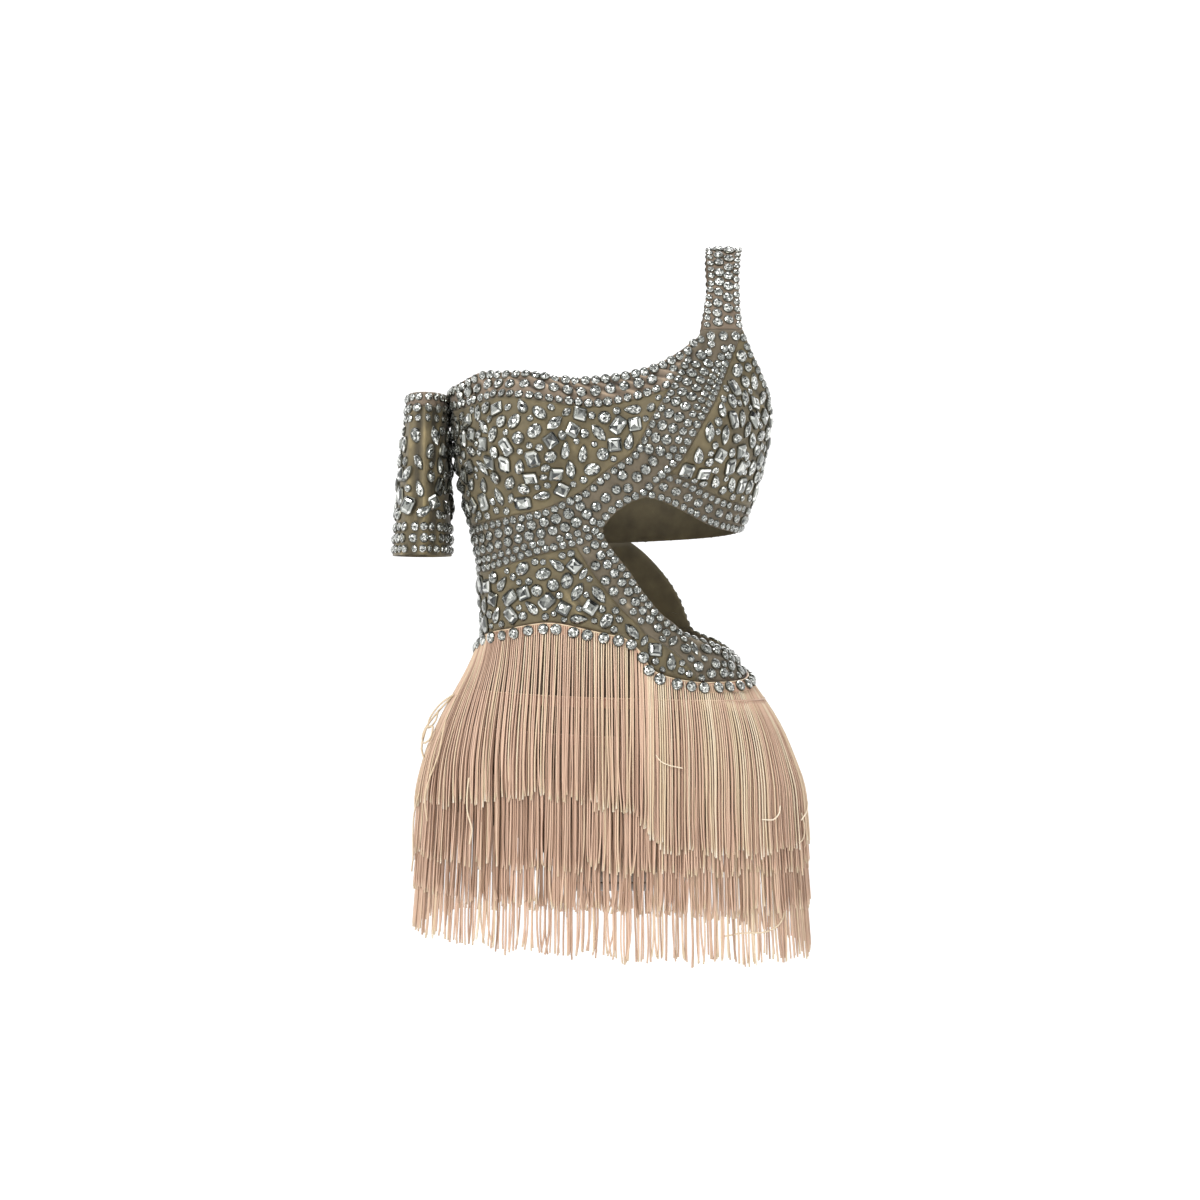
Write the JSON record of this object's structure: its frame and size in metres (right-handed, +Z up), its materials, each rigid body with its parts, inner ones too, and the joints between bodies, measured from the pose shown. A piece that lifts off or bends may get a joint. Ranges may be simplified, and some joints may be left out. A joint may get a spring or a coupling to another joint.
{
  "type": "rhinestone stage bodysuit",
  "caption": "Hollow one-shoulder stage bodysuit with crossed bands, a side cut-out, one empty sleeve and tiered hip fringe, set with clear stones.",
  "frame": {"origin": "underside of the top of the shoulder strap, where the garment hangs on a hanger or a peg", "axes": "+Z up as worn, -Y to the garment's front, +X to the strap's side"},
  "size_m": [0.4152, 0.2636, 0.6977],
  "materials": {
    "mesh_cloth": "sheer stretch mesh",
    "band_cloth": "doubled stretch mesh",
    "lining_cloth": "matt stretch lining",
    "fringe": "satin cord",
    "tape": "woven tape",
    "stone": "cut, foil backed",
    "stone_setting": "bright claw setting"
  },
  "bodies": {
    "root": {"neck_band_front": "band_cloth", "right_cup_panel": "mesh_cloth", "cross_band": "band_cloth", "left_cup_panel": "mesh_cloth", "under_cup_band": "band_cloth", "midriff_panel": "mesh_cloth", "cutout_band": "band_cloth", "back_upper": "mesh_cloth", "back_lower": "mesh_cloth", "strap": "band_cloth", "sleeve_band": "band_cloth", "sleeve": "mesh_cloth", "brief_front": "lining_cloth", "brief_back": "lining_cloth", "gusset": "lining_cloth", "fringe_tier_1": "fringe", "fringe_tier_2": "fringe", "fringe_tier_3": "fringe", "fringe_tier_4": "fringe"}
  },
  "joints": []
}
